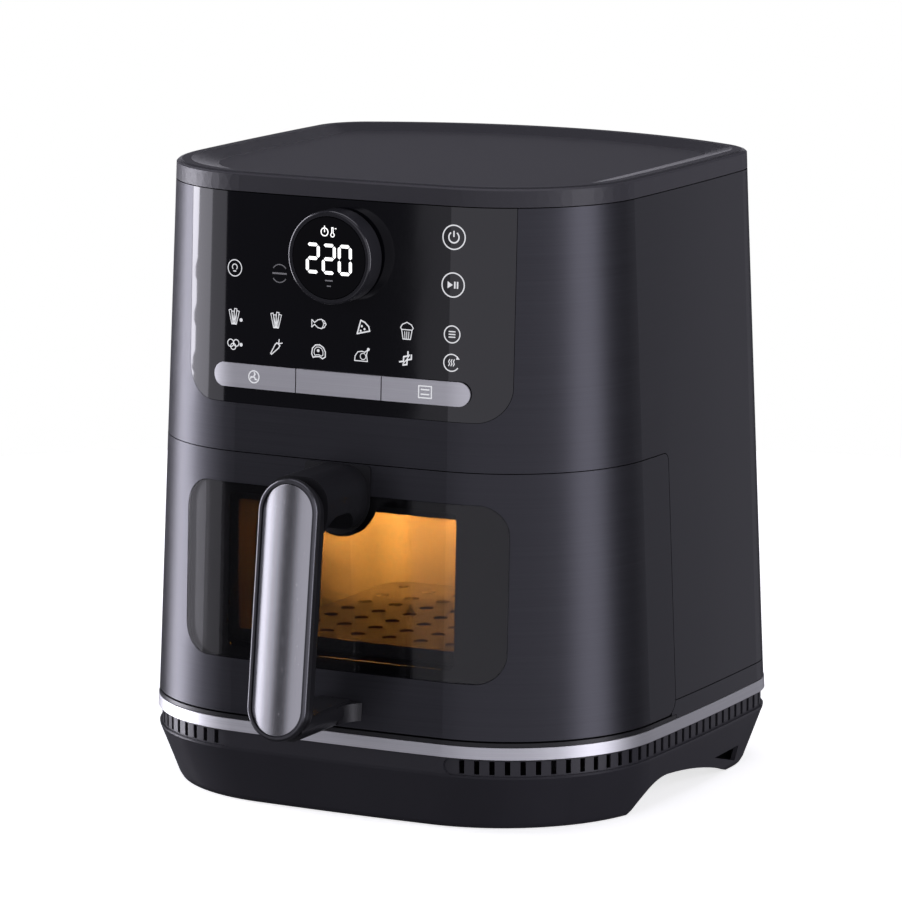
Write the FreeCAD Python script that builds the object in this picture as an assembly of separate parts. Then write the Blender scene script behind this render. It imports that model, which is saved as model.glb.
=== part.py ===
import FreeCAD, Part

import math
import os

# Air fryer with a window drawer, in millimetres, +Z up. The front with the handle faces -Y.
# Shapes are drawn about the upright line through the middle of the housing's outline, with
# the table at z = 0. save_all() then slides everything along Y so that the origin lies at
# the middle of the whole fryer's footprint.

V = FreeCAD.Vector
UP = V(0, 0, 1)
BACK = V(0, 1, 0)
RIGHT = V(1, 0, 0)

# ---- driving dimensions: housing outline and levels ----
TOP_WIDTH = 259.5
TOP_DEPTH = 253.1
FRONT_BOW = 1500.0
SIDE_BOW = 2000.0
BACK_BOW = 240.0
FRONT_CORNER = 70.0
BACK_CORNER = 32.0
HEIGHT = 330.0
SEAM_Z = 319.7
SEAM_OFFSET = 1.2
DRAFT = 0.0408
WALL = 2.5
SEAM_GAP = 0.5
BAND_TOP = 45.1
BAND_BOTTOM = 38.9
BAND_PROUD = 0.4
STRIP_TOP = 54.8

# ---- lid ----
LID_SIDE_TOP = 328.5
LID_SHOULDER = 8.0
LID_SLOPE = 14.5
LID_DISH = 2.8

# ---- control panel, dial and mode bar ----
PANEL_HALF = 94.4
PANEL_BOTTOM = 211.0
PANEL_CORNER = 18.0
PANEL_THICK = 3.0
PANEL_GAP = 0.25
DIAL_Z = 291.6
DIAL_R = 24.0
DIAL_BORE = 21.3
DIAL_PROUD = 13.4
DIAL_SLEEVE = 1.5
DISPLAY_R = 20.9
DISPLAY_WALL = 1.6
LENS_THICK = 1.6
ENCODER_WIDTH = 5.8
BAR_HALF = 74.7
BAR_Z = 225.4
BAR_HEIGHT = 12.4
BAR_SPLIT = 25.0
BAR_PROUD = 1.8
KEY_POST = 6.0
KEY_TRAVEL = 0.8
KEY_LIFT = 0.2
BOARD_BACK = -116.4
BOARD_THICK = 1.6
TOUCH_X = 63.6
TOUCH_COLUMNS = 5
TOUCH_ROWS = (255.0, 240.7)
TOUCH_R = 3.2

# ---- drawer front ----
DRAWER_TOP = 185.2
DRAWER_BOTTOM = 48.4
DRAWER_EDGE_Y = -28.7
DRAWER_EDGE_ROUND = 4.5
DRAWER_FOOT_ROUND = 9.0
WINDOW_HALF = 94.6
WINDOW_BOTTOM = 77.1
WINDOW_TOP = 169.2
WINDOW_ROUND = 16.0
PANE_THICK = 2.5
VIEW_HALF = 66.5
VIEW_BOTTOM = 83.0
VIEW_TOP = 164.0
MASK_THICK = 1.2
INNER_PANEL_FRONT = -114.5
INNER_PANEL_THICK = 2.5
INNER_WINDOW_HALF = 76.0
INNER_WINDOW_BOTTOM = 84.0
INNER_WINDOW_TOP = 160.0

# ---- front frame and cooking chamber ----
FRAME_PLATE_Y = -108.0
FRAME_INSET = 6.5
FRAME_TOP = 181.0
MOUTH_HALF = 103.0
MOUTH_BOTTOM = 57.5
MOUTH_TOP = 168.5
LINER_WALL = 0.8
LINER_BACK = 111.0
LINER_FLOOR = 56.0
LINER_ROOF = 170.5
DOME_R = 96.0
DOME_Y = -2.0
DOME_TOP = 232.0
DECK_Z = 36.1

# ---- basket and crisper plate ----
PAN_HALF = 97.0
PAN_DRAFT = 3.0
PAN_BACK = 96.0
PAN_BOTTOM = 61.8
PAN_TOP = 163.0
PAN_WALL = 1.5
PAN_RIM = 4.0
PAN_CORNER = 20.0
SEAT_GAP = 0.3
PLATE_Z = 74.0
PLATE_THICK = 1.2
PLATE_GAP = 2.5
PLATE_RIM = 5.0
PLATE_HOLE_R = 4.0
PLATE_PITCH = 19.0
BUMPER_R = 5.0

# ---- handle ----
HANDLE_TOP = 184.8
HANDLE_BOTTOM = 52.7
HANDLE_HALF = 17.0
HANDLE_FRONT_TOP = -183.9
HANDLE_LEAN = 7.3
PLATE_HALF_W = 14.4
PLATE_DOME_R = 130.0
BEZEL_DEPTH = 4.5
GRIP_DEPTH = 14.5
NECK_HALF = 17.5
NECK_SHOULDER = 13.0
NECK_FLANGE = 1.6
NECK_BOTTOM = 150.0
LEG_HALF = 11.0
LEG_TOP = 64.0
LEG_FLARE = 7.0
HANDLE_SCREW_Z = (177.0, 57.5)

# ---- base ----
SKIRT_TURN_Z = 28.6
SKIRT_TURN_INSET = 0.4
SKIRT_FOOT_Z = 2.8
SKIRT_FOOT_OFFSET = 6.0
SKIRT_FOOT_ROUND = 24.0
FRONT_SOFTENING = 0.45
SKIRT_HEEL = 1.4
FOOT_LIFT = 0.5
FOOT_R = 8.0
BASE_PLATE_Z = 17.0
ARCH_FRONT = -66.0
ARCH_TOP_Y = -32.0
ARCH_TOP_Z = 16.0
ARCH_REAR = 54.0
VENT_BOTTOM = 30.6
VENT_TOP = 37.7
VENT_WIDTH = 2.8
VENT_COUNT = 120
VENT_START = 63.0
VENT_GROOVE = 1.6
GLAND_X = 70.0
GLAND_Z = 21.5
GLAND_R = 6.2
GLAND_NUT_R = 8.4

# ---- heater, fans and motor ----
COIL_Z = 196.0
COIL_RADII = (45.0, 62.0, 79.0)
COIL_TUBE = 3.2
GUARD_Z = 182.0
GUARD_R = 80.0
FAN_Z = 208.0
FAN_R = 70.0
FAN_BLADES = 12
SHAFT_R = 3.0
BEARING_R = 8.0
STATOR_R = 42.0
STATOR_Z = 243.0
STATOR_TALL = 25.0
ROTOR_R = 16.0
COOLER_Z = 277.0
COOLER_R = 44.0
COOLER_BLADES = 9
EXHAUST_HALF = 30.0
EXHAUST_BOTTOM = 186.0
EXHAUST_TOP = 226.0
LAMP_Z = 212.0


def box(x0, x1, y0, y1, z0, z1):
    return Part.makeBox(x1 - x0, y1 - y0, z1 - z0, V(x0, y0, z0))


def rod(radius, start, axis, length):
    return Part.makeCylinder(radius, length, start, axis)


def tube(outer, inner, start, axis, length):
    return rod(outer, start, axis, length).cut(rod(inner, start, axis, length))


def fuse(shapes):
    first = shapes[0]
    if len(shapes) == 1:
        return first
    return first.multiFuse(shapes[1:]).removeSplitter()


def group(shapes):
    return Part.makeCompound(shapes)


# ---- the housing's outline: four long bows joined by four corner arcs ----

def body_offset(z):
    """How far the drafted wall stands out from the top outline at this height."""
    return SEAM_OFFSET + DRAFT * (SEAM_Z - z)


def meeting(centre_a, radius_a, centre_b, radius_b, near):
    """The crossing of two circles that lies nearer to the given point."""
    line = centre_b - centre_a
    gap = line.Length
    along = (radius_a ** 2 - radius_b ** 2 + gap ** 2) / (2 * gap)
    aside = math.sqrt(radius_a ** 2 - along ** 2)
    unit = line.normalize()
    middle = centre_a + unit * along
    across = V(-unit.y, unit.x, 0) * aside
    return min((middle + across, middle - across), key=lambda p: (p - near).Length)


def outline_points(offset, z, soften=0.0):
    """End and middle points of the outline's arcs on the right half, from front to back."""
    front_corner = FRONT_CORNER + soften * FRONT_SOFTENING
    back_corner = BACK_CORNER + soften
    half_w = TOP_WIDTH / 2
    half_d = TOP_DEPTH / 2
    front = V(0, FRONT_BOW - half_d, 0)
    side = V(half_w - SIDE_BOW, 0, 0)
    back = V(0, half_d - BACK_BOW, 0)
    near_front = V(half_w, -half_d, 0)
    near_back = V(half_w, half_d, 0)
    fr = meeting(front, FRONT_BOW - front_corner, side, SIDE_BOW - front_corner, near_front)
    br = meeting(back, BACK_BOW - back_corner, side, SIDE_BOW - back_corner, near_back)
    points = [V(0, -half_d - offset, 0)]
    points.append(front + (fr - front).normalize() * (FRONT_BOW + offset))
    points.append(fr + ((fr - front).normalize() + (fr - side).normalize()).normalize()
                  * (front_corner + offset))
    points.append(side + (fr - side).normalize() * (SIDE_BOW + offset))
    points.append(V(half_w + offset, 0, 0))
    points.append(side + (br - side).normalize() * (SIDE_BOW + offset))
    points.append(br + ((br - back).normalize() + (br - side).normalize()).normalize()
                  * (back_corner + offset))
    points.append(back + (br - back).normalize() * (BACK_BOW + offset))
    points.append(V(0, half_d + offset, 0))
    return [p + UP * z for p in points]


def mirrored(point):
    return V(-point.x, point.y, point.z)


def arc(a, b, c):
    return Part.Arc(a, b, c).toShape()


def outline(offset, z, soften=0.0):
    p = outline_points(offset, z, soften)
    m = [mirrored(q) for q in p]
    edges = [arc(m[1], p[0], p[1]), arc(p[1], p[2], p[3]), arc(p[3], p[4], p[5]),
             arc(p[5], p[6], p[7]), arc(p[7], p[8], m[7]), arc(m[7], m[6], m[5]),
             arc(m[5], m[4], m[3]), arc(m[3], m[2], m[1])]
    return Part.Wire(edges)


def stack(levels):
    """A solid through the outline at each (offset, z) or (offset, z, softening) level."""
    return Part.makeLoft([outline(*level) for level in levels], True, True)


def drafted(inset, z0, z1):
    """The body's drafted volume between two heights, moved outwards by inset."""
    return stack([(body_offset(z0) + inset, z0), (body_offset(z1) + inset, z1)])


def skin(inner, outer, z0, z1):
    return drafted(outer, z0, z1).cut(drafted(inner, z0, z1))


def face_y(z, inset=0.0):
    """Y of the body's front surface on the centre line at this height."""
    return -TOP_DEPTH / 2 - body_offset(z) - inset


# ---- outlines in the front (XZ) and side (YZ) planes ----

def rounded_outline(a0, a1, b0, b1, low_r, high_r, place):
    """Rounded rectangle; place(a, b) turns plane coordinates into a point."""
    edges = []
    corners = [(a1, b0, low_r, -90), (a1, b1, high_r, 0), (a0, b1, high_r, 90), (a0, b0, low_r, 180)]
    ends = []
    for a, b, radius, start in corners:
        ca = a - radius if a == a1 else a + radius
        cb = b + radius if b == b0 else b - radius
        trio = []
        for turn in (0, 45, 90):
            angle = math.radians(start + turn)
            trio.append(place(ca + radius * math.cos(angle), cb + radius * math.sin(angle)))
        ends.append(trio)
    for index, trio in enumerate(ends):
        previous = ends[index - 1][2]
        if (trio[0] - previous).Length > 1e-6:
            edges.append(Part.makeLine(previous, trio[0]))
        edges.append(arc(*trio))
    return Part.Face(Part.Wire(edges))


def front_prism(half, z0, z1, low_r, high_r, y0, y1):
    plate = rounded_outline(-half, half, z0, z1, low_r, high_r, lambda a, b: V(a, y0, b))
    return plate.extrude(BACK * (y1 - y0))


def side_prism(y0, y1, z0, z1, low_r, high_r, x0, x1):
    plate = rounded_outline(y0, y1, z0, z1, low_r, high_r, lambda a, b: V(x0, a, b))
    return plate.extrude(RIGHT * (x1 - x0))


def plan_prism(half, y0, y1, front_r, back_r, z0, z1):
    plate = rounded_outline(-half, half, y0, y1, front_r, back_r, lambda a, b: V(a, b, z0))
    return plate.extrude(UP * (z1 - z0))


FAR = 300.0


# ---- housing ----

def top_lid():
    low = SEAM_Z + SEAM_GAP
    side = body_offset(SEAM_Z)
    outer = stack([(side, low), (side - 0.3, LID_SIDE_TOP), (side - 1.3, LID_SIDE_TOP + 0.9),
                   (side - 3.2, HEIGHT), (side - LID_SHOULDER - 1, HEIGHT)])
    dish_z = HEIGHT - LID_DISH
    dish = stack([(side - LID_SHOULDER - LID_SLOPE, dish_z), (side - LID_SHOULDER, HEIGHT),
                  (side - LID_SHOULDER + 4, HEIGHT + 0.8)])
    hollow = stack([(side - WALL, low - 1), (side - WALL - 2.5, dish_z - WALL)])
    return outer.cut(dish).cut(hollow)


def drawer_zone(gap):
    """The side view of the drawer front, with a gap all round."""
    return side_prism(-FAR, DRAWER_EDGE_Y + gap, DRAWER_BOTTOM - gap, DRAWER_TOP + gap,
                      DRAWER_FOOT_ROUND + gap, DRAWER_EDGE_ROUND + gap, -FAR, FAR)


def panel_prism(gap):
    return front_prism(PANEL_HALF + gap, PANEL_BOTTOM - gap, SEAM_Z + 40, PANEL_CORNER + gap,
                       PANEL_CORNER, -FAR, 0)


def exhaust_prism(grow, y0, y1):
    return front_prism(EXHAUST_HALF + grow, EXHAUST_BOTTOM - grow, EXHAUST_TOP + grow, 4, 4, y0, y1)


def body_shell():
    walls = skin(-WALL, 0, STRIP_TOP + SEAM_GAP, SEAM_Z)
    ledge_z = DRAWER_TOP + SEAM_GAP
    ledge = drafted(-WALL + 0.2, ledge_z, ledge_z + WALL)
    ledge = ledge.common(box(-FAR, FAR, -FAR, FRAME_PLATE_Y, 0, HEIGHT))
    rim = skin(-WALL - 5, -WALL + 0.2, SEAM_Z - 14, SEAM_Z - 12)
    shell = fuse([walls, ledge, rim])
    shell = shell.cut(drawer_zone(SEAM_GAP)).cut(panel_prism(PANEL_GAP))
    shell = shell.cut(box(-FAR, FAR, -FAR, DRAWER_EDGE_Y + SEAM_GAP, 0, DRAWER_TOP - 20))
    return shell.cut(exhaust_prism(3.3, 50, FAR))


def lower_side_strip():
    ring = skin(-WALL, 0, BAND_TOP + 0.3, STRIP_TOP).cut(drawer_zone(SEAM_GAP))
    ring = ring.cut(box(-FAR, FAR, -FAR, DRAWER_EDGE_Y + SEAM_GAP, 0, DRAWER_BOTTOM - 0.8))
    return ring.cut(box(-FAR, FAR, -FAR, DRAWER_EDGE_Y - DRAWER_FOOT_ROUND / 2, 0, HEIGHT))


def trim_band():
    return skin(-2, BAND_PROUD, BAND_BOTTOM, BAND_TOP)


def key_holes(gap):
    size = KEY_POST / 2 + gap
    holes = []
    for x in (-BAR_SPLIT * 2, BAR_SPLIT * 2):
        holes.append(box(x - size, x + size, -FAR, 0, BAR_Z - size, BAR_Z + size))
    return group(holes)


def control_panel():
    plate = skin(-PANEL_THICK, 0, PANEL_BOTTOM - 1, SEAM_Z).common(panel_prism(0))
    opening = rod(DIAL_BORE + DIAL_SLEEVE + 0.5, V(0, -FAR, DIAL_Z), BACK, FAR)
    return plate.cut(opening).cut(key_holes(0.3))


def bar_strip(x0, x1, low, high):
    layer = skin(low, high, BAR_Z - 12, BAR_Z + 12)
    radius = BAR_HEIGHT / 2 - 0.01
    pill = front_prism(BAR_HALF, BAR_Z - BAR_HEIGHT / 2, BAR_Z + BAR_HEIGHT / 2, radius, radius, -FAR, 0)
    return layer.common(pill).common(box(x0, x1, -FAR, 0, 0, HEIGHT))


def mode_bar_centre():
    return bar_strip(-BAR_SPLIT + 0.3, BAR_SPLIT - 0.3, 0, BAR_PROUD)


def key_back():
    return BOARD_BACK - BOARD_THICK - 4.2 - KEY_TRAVEL - 0.3


def mode_key(side):
    x0, x1 = sorted((side * (BAR_SPLIT + 0.3), side * FAR))
    cap = bar_strip(x0, x1, KEY_TRAVEL + KEY_LIFT, BAR_PROUD)
    x = side * BAR_SPLIT * 2
    half = KEY_POST / 2
    post = box(x - half, x + half, face_y(BAR_Z) - 0.5, key_back(), BAR_Z - half, BAR_Z + half)
    return fuse([cap, post])


def dial_front():
    return face_y(DIAL_Z) - DIAL_PROUD


def dial_ring():
    back = face_y(DIAL_Z - DIAL_R) - 0.6
    face = dial_front()
    ring = tube(DIAL_R, DIAL_BORE, V(0, face, DIAL_Z), BACK, back - face)
    rims = [e for e in ring.Edges if abs(e.BoundBox.YMax - face) < 0.01 and e.BoundBox.XMax > DIAL_R - 1]
    ring = ring.makeFillet(1.2, rims)
    reach = BOARD_BACK - BOARD_THICK - 1.5 - back
    sleeve = tube(DIAL_BORE + DIAL_SLEEVE, DIAL_BORE, V(0, back - 0.5, DIAL_Z), BACK, reach + 0.5)
    return fuse([ring, sleeve])


def dial_encoder():
    y1 = BOARD_BACK - BOARD_THICK
    start = V(0, y1 - ENCODER_WIDTH, DIAL_Z)
    return tube(DIAL_R + 3, DIAL_BORE + DIAL_SLEEVE + 0.3, start, BACK, ENCODER_WIDTH)


def display_holder():
    front = dial_front() + LENS_THICK
    back = BOARD_BACK - BOARD_THICK
    return tube(DISPLAY_R, DISPLAY_R - DISPLAY_WALL, V(0, front, DIAL_Z), BACK, back - front)


def display_lens():
    return rod(DISPLAY_R, V(0, dial_front(), DIAL_Z), BACK, LENS_THICK)


def display_module():
    front = dial_front() + LENS_THICK + 0.3
    half_x = 13.5
    return box(-half_x, half_x, front, BOARD_BACK - BOARD_THICK, DIAL_Z - 8.5, DIAL_Z + 8.5)


def control_board():
    top = SEAM_Z - 12
    board = box(-PANEL_HALF + 8, PANEL_HALF - 8, BOARD_BACK - BOARD_THICK, BOARD_BACK, PANEL_BOTTOM + 3, top)
    chips = [box(x - 6, x + 6, BOARD_BACK, BOARD_BACK + 2.2, 262, 274) for x in (-40, 10, 50)]
    y1 = BOARD_BACK - BOARD_THICK
    places = (-BAR_SPLIT * 2, BAR_SPLIT * 2)
    switches = [box(x - 3, x + 3, y1 - 4.2, y1, BAR_Z - 3, BAR_Z + 3) for x in places]
    return group([board] + chips + switches)


def touch_contacts():
    front_gap = 0.3
    pads = []
    pitch = 2 * TOUCH_X / TOUCH_COLUMNS
    places = [(-TOUCH_X + pitch * column, z) for z in TOUCH_ROWS for column in range(TOUCH_COLUMNS + 1)]
    places += [(-TOUCH_X, 280.4), (TOUCH_X, 280.4), (TOUCH_X, 304.5)]
    for x, z in places:
        bowed = FRONT_BOW - math.sqrt(FRONT_BOW ** 2 - x * x)
        front = face_y(z) + bowed + PANEL_THICK + front_gap
        pads.append(rod(TOUCH_R, V(x, front, z), BACK, BOARD_BACK - BOARD_THICK - front))
    return group(pads)


def front_frame():
    y_plate = FRAME_PLATE_Y
    rear = DRAWER_EDGE_Y + 14
    sill_top = DRAWER_BOTTOM - 1.0
    cap = drafted(-FRAME_INSET, sill_top - 1, FRAME_TOP).common(box(-FAR, FAR, y_plate, rear, 0, HEIGHT))
    room = drafted(-FRAME_INSET - WALL, sill_top - 6, FRAME_TOP - WALL)
    room = room.common(box(-FAR, FAR, y_plate + WALL, rear + 1, 0, HEIGHT))
    sill = drafted(0, BAND_TOP + 0.3, sill_top).common(box(-FAR, FAR, -FAR, DRAWER_EDGE_Y, 0, HEIGHT))
    flange = skin(-FRAME_INSET - 1, -WALL - 0.1, STRIP_TOP + 2, FRAME_TOP - WALL - 1)
    flange = flange.common(box(-FAR, FAR, rear - 6, rear - 6 + WALL, 0, HEIGHT))
    frame = cap.cut(room).fuse(sill).fuse(flange)
    mouth = front_prism(MOUTH_HALF, MOUTH_BOTTOM, MOUTH_TOP, 10, 10, y_plate - 1, y_plate + WALL + 1)
    dome = rod(DOME_R + LINER_WALL + 1, V(0, DOME_Y, FRAME_TOP - 20), UP, 40)
    plunger = rod(2.0, V(switch_x(), y_plate - 1, switch_z()), BACK, WALL + 2)
    return frame.cut(mouth).cut(dome).cut(plunger)


def chamber_liner():
    front = FRAME_PLATE_Y + WALL + 0.2
    half = MOUTH_HALF + 0.4
    t = LINER_WALL
    outer = plan_prism(half, front, LINER_BACK, 1, 20, LINER_FLOOR, LINER_ROOF)
    inner = plan_prism(half - t, front - 5, LINER_BACK - t, 1, 20 - t, LINER_FLOOR + t, LINER_ROOF - t)
    middle = V(0, DOME_Y, LINER_ROOF - t)
    dome = rod(DOME_R + t, middle, UP, DOME_TOP + t - LINER_ROOF + t)
    hollow = rod(DOME_R, middle - UP * 2, UP, DOME_TOP - LINER_ROOF + t + 2)
    liner = fuse([outer, dome]).cut(inner).cut(hollow)
    liner = liner.cut(rod(SHAFT_R + 3, V(0, DOME_Y, DOME_TOP - 5), UP, 10))
    liner = liner.cut(exhaust_prism(0, DOME_Y + 60, FAR).common(box(-FAR, FAR, 50, 100, 0, HEIGHT)))
    for x in coil_ends():
        liner = liner.cut(rod(6.2, V(x, coil_end_y(), DOME_TOP - 5), UP, 10))
    return liner.cut(rod(13.2, V(60, DOME_Y, LAMP_Z), RIGHT, 50))


def coil_ends():
    return (-9.0, 9.0)


def coil_end_y():
    return DOME_Y - math.sqrt(COIL_RADII[-1] ** 2 - coil_ends()[1] ** 2)


def liner_brackets():
    feet = []
    for x in (-80, 80):
        for y in (-85, 85):
            feet.append(box(x - 8, x + 8, y - 8, y + 8, BAND_BOTTOM - 0.3, LINER_FLOOR))
    return group([foot.cut(box(-FAR, FAR, -FAR, DRAWER_EDGE_Y, 0, DRAWER_BOTTOM - 1.0)) for foot in feet])


def slide_rails():
    z0 = LINER_FLOOR + LINER_WALL
    return group([box(x - 4, x + 4, -95, 90, z0, PAN_BOTTOM - SEAT_GAP) for x in (-70, 70)])


def latch_springs():
    springs = []
    wall = MOUTH_HALF + 0.4 - LINER_WALL - 0.1
    for side in (-1, 1):
        points = [(wall, -60), (97.6, -46), (97.6, -42), (wall, -28),
                  (wall - 0.6, -28), (97.0, -41), (97.0, -47), (wall - 0.6, -60)]
        loop = [V(side * x, y, 118) for x, y in points]
        springs.append(Part.Face(Part.makePolygon(loop + loop[:1])).extrude(UP * 10))
    return group(springs)


def heater_coil():
    centre = V(0, DOME_Y, COIL_Z)
    rings = [Part.makeTorus(radius, COIL_TUBE, centre, UP) for radius in COIL_RADII]
    inner = COIL_RADII[0]
    outer = COIL_RADII[-1]
    links = []
    for turn in (90, 210, 330):
        way = V(math.cos(math.radians(turn)), math.sin(math.radians(turn)), 0)
        links.append(rod(COIL_TUBE * 0.6, centre + way * inner, way, outer - inner))
    for x in coil_ends():
        links.append(rod(COIL_TUBE * 0.95, V(x, coil_end_y(), COIL_Z), UP, DOME_TOP + 12 - COIL_Z))
    return fuse(rings + links)


def heater_bushes():
    bushes = []
    for x in coil_ends():
        bushes.append(tube(6, COIL_TUBE + 0.1, V(x, coil_end_y(), DOME_TOP - 2), UP, 10))
    return group(bushes)


def heater_guard():
    disc = rod(GUARD_R, V(0, DOME_Y, GUARD_Z), UP, 0.8)
    tabs = []
    for turn in (30, 150, 270):
        tab = box(GUARD_R - 2, DOME_R - 0.3, -6, 6, GUARD_Z, GUARD_Z + 0.8)
        tab.rotate(V(0, 0, 0), UP, turn)
        tab.translate(V(0, DOME_Y, 0))
        tabs.append(tab)
    pitch = 15.0
    holes = []
    for row in range(-6, 7):
        for column in range(-6, 7):
            x = (column + 0.5 * (row % 2)) * pitch
            y = row * pitch * 0.866
            if math.hypot(x, y) < GUARD_R - 8:
                holes.append(rod(5.5, V(x, DOME_Y + y, GUARD_Z - 1), UP, 3))
    return fuse([disc.cut(group(holes))] + tabs)


def blades(count, hub, tip, z0, tall, thick, pitch):
    made = []
    for index in range(count):
        blade = box(hub - 1, tip, -thick / 2, thick / 2, z0, z0 + tall)
        if pitch:
            blade.rotate(V(0, 0, z0 + tall / 2), RIGHT, pitch)
        blade.rotate(V(0, 0, 0), UP, 360.0 / count * index)
        blade.translate(V(0, DOME_Y, 0))
        made.append(blade)
    return made


def convection_fan():
    tall = 13.0
    disc = rod(FAN_R, V(0, DOME_Y, FAN_Z), UP, 1.0)
    hub = rod(9, V(0, DOME_Y, FAN_Z - 1), UP, tall + 2)
    wheel = fuse([disc, hub] + blades(FAN_BLADES, 24, FAN_R - 1, FAN_Z + 0.9, tall, 1.2, 0))
    return wheel.cut(rod(SHAFT_R, V(0, DOME_Y, FAN_Z - 10), UP, 40))


def cooling_fan():
    tall = 12.0
    hub = rod(10, V(0, DOME_Y, COOLER_Z), UP, tall)
    wheel = fuse([hub] + blades(COOLER_BLADES, 10, COOLER_R, COOLER_Z, tall, 1.5, 30))
    return wheel.cut(rod(SHAFT_R, V(0, DOME_Y, COOLER_Z - 10), UP, 40))


def motor_shaft():
    low = FAN_Z - 3
    rotor = tube(ROTOR_R, SHAFT_R, V(0, DOME_Y, STATOR_Z + 2), UP, STATOR_TALL - 4)
    return group([rod(SHAFT_R, V(0, DOME_Y, low), UP, COOLER_Z + 14 - low), rotor])


def motor_stator():
    stator = tube(STATOR_R, ROTOR_R + 0.6, V(0, DOME_Y, STATOR_Z), UP, STATOR_TALL)
    windings = []
    for index in range(4):
        slot = box(22, 36, -6, 6, STATOR_Z - 1, STATOR_Z + STATOR_TALL + 1)
        slot.rotate(V(0, 0, 0), UP, 90 * index + 45)
        slot.translate(V(0, DOME_Y, 0))
        windings.append(slot)
    return stator.cut(group(windings))


def motor_windings():
    coils = []
    for index in range(4):
        coil = box(22.3, 35.7, -5.7, 5.7, STATOR_Z - 2.5, STATOR_Z + STATOR_TALL - 0.5)
        coil.rotate(V(0, 0, 0), UP, 90 * index + 45)
        coil.translate(V(0, DOME_Y, 0))
        coils.append(coil)
    return group(coils)


def motor_bracket():
    z0 = DOME_TOP + LINER_WALL + 0.1
    plate = rod(STATOR_R + 4, V(0, DOME_Y, z0), UP, 2)
    collar = rod(12, V(0, DOME_Y, z0), UP, 5.6)
    posts = []
    for index in range(4):
        turn = math.radians(90 * index)
        spot = V(38 * math.cos(turn), DOME_Y + 38 * math.sin(turn), z0)
        posts.append(rod(3.5, spot, UP, STATOR_Z - z0))
    return fuse([plate, collar] + posts).cut(rod(BEARING_R, V(0, DOME_Y, z0 - 1), UP, 20))


def motor_cover():
    z0 = STATOR_Z + STATOR_TALL
    plate = rod(STATOR_R, V(0, DOME_Y, z0), UP, 1.6)
    collar = rod(12, V(0, DOME_Y, z0), UP, 5.6)
    return fuse([plate, collar]).cut(rod(BEARING_R, V(0, DOME_Y, z0 - 1), UP, 20))


def motor_bearings():
    low = DOME_TOP + LINER_WALL + 0.1
    high = STATOR_Z + STATOR_TALL
    return group([tube(BEARING_R, SHAFT_R + 0.05, V(0, DOME_Y, z), UP, 5) for z in (low, high)])


def exhaust_duct():
    outer = exhaust_prism(1.5, DOME_Y + DOME_R - 12, FAR)
    duct = outer.cut(exhaust_prism(0, 50, FAR))
    duct = duct.common(drafted(-WALL - 0.4, EXHAUST_BOTTOM - 5, EXHAUST_TOP + 5))
    return duct.cut(rod(DOME_R + LINER_WALL + 0.1, V(0, DOME_Y, LINER_ROOF), UP, 80))


def exhaust_grille():
    plug = exhaust_prism(3.0, 50, FAR).common(skin(-WALL, 0.2, EXHAUST_BOTTOM - 8, EXHAUST_TOP + 8))
    lip = exhaust_prism(7.0, 50, FAR).common(skin(0.1, 2.6, EXHAUST_BOTTOM - 12, EXHAUST_TOP + 12))
    grille = fuse([plug, lip])
    slots = []
    count = 6
    step = (EXHAUST_TOP - EXHAUST_BOTTOM) / count
    for index in range(count):
        z = EXHAUST_BOTTOM + step * (index + 0.5)
        slots.append(front_prism(EXHAUST_HALF - 2, z - 1.6, z + 1.6, 1.5, 1.5, 50, FAR))
    return grille.cut(group(slots))


def lamp_housing():
    shell = tube(13, 11.4, V(DOME_R - 4, DOME_Y, LAMP_Z), RIGHT, 20)
    cap = rod(13, V(DOME_R + 16, DOME_Y, LAMP_Z), RIGHT, 1.6)
    return fuse([shell, cap])


def lamp_lens():
    return rod(11.2, V(DOME_R - 4, DOME_Y, LAMP_Z), RIGHT, 2)


def lamp_bulb():
    start = DOME_R - 1
    globe = rod(5.5, V(start, DOME_Y, LAMP_Z), RIGHT, 10)
    globe = globe.makeFillet(4.5, [e for e in globe.Edges if e.BoundBox.XMax < start + 0.01])
    return fuse([globe, rod(4, V(start + 9.5, DOME_Y, LAMP_Z), RIGHT, 7.3)])


def thermal_cutout():
    z0 = DOME_TOP + LINER_WALL + 0.1
    body = rod(9, V(-66, -32, z0), UP, 7)
    ears = box(-80, -52, -35, -29, z0, z0 + 1)
    return fuse([body, ears])


def switch_x():
    return 60.0


def switch_z():
    return (LINER_ROOF + FRAME_TOP - WALL) / 2


def drawer_switch():
    y0 = FRAME_PLATE_Y + WALL + 0.1
    half_z = 3.4
    body = box(switch_x() - 7, switch_x() + 7, y0, y0 + 15, switch_z() - half_z, switch_z() + half_z)
    return body.cut(rod(1.8, V(switch_x(), y0 - 1, switch_z()), BACK, 6))


def switch_plunger():
    tip = INNER_PANEL_FRONT + INNER_PANEL_THICK + SEAT_GAP
    return rod(1.5, V(switch_x(), tip, switch_z()), BACK, FRAME_PLATE_Y + WALL + 2.8 - tip)


def power_board():
    z0 = DOME_TOP + 14
    board = box(-54, 54, 48, 90, z0, z0 + 1.6)
    top = z0 + 1.6
    blocks = [box(-46, -18, 54, 78, top, top + 20), box(-8, 8, 60, 80, top, top + 15),
              box(16, 32, 60, 80, top, top + 15), rod(7, V(44, 68, top), UP, 22)]
    base = DOME_TOP + LINER_WALL
    posts = [rod(3, V(x, y, base), UP, z0 - base) for x, y in ((-46, 53), (46, 53), (-30, 84), (30, 84))]
    return group([board] + blocks + posts)


# ---- base ----

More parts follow.
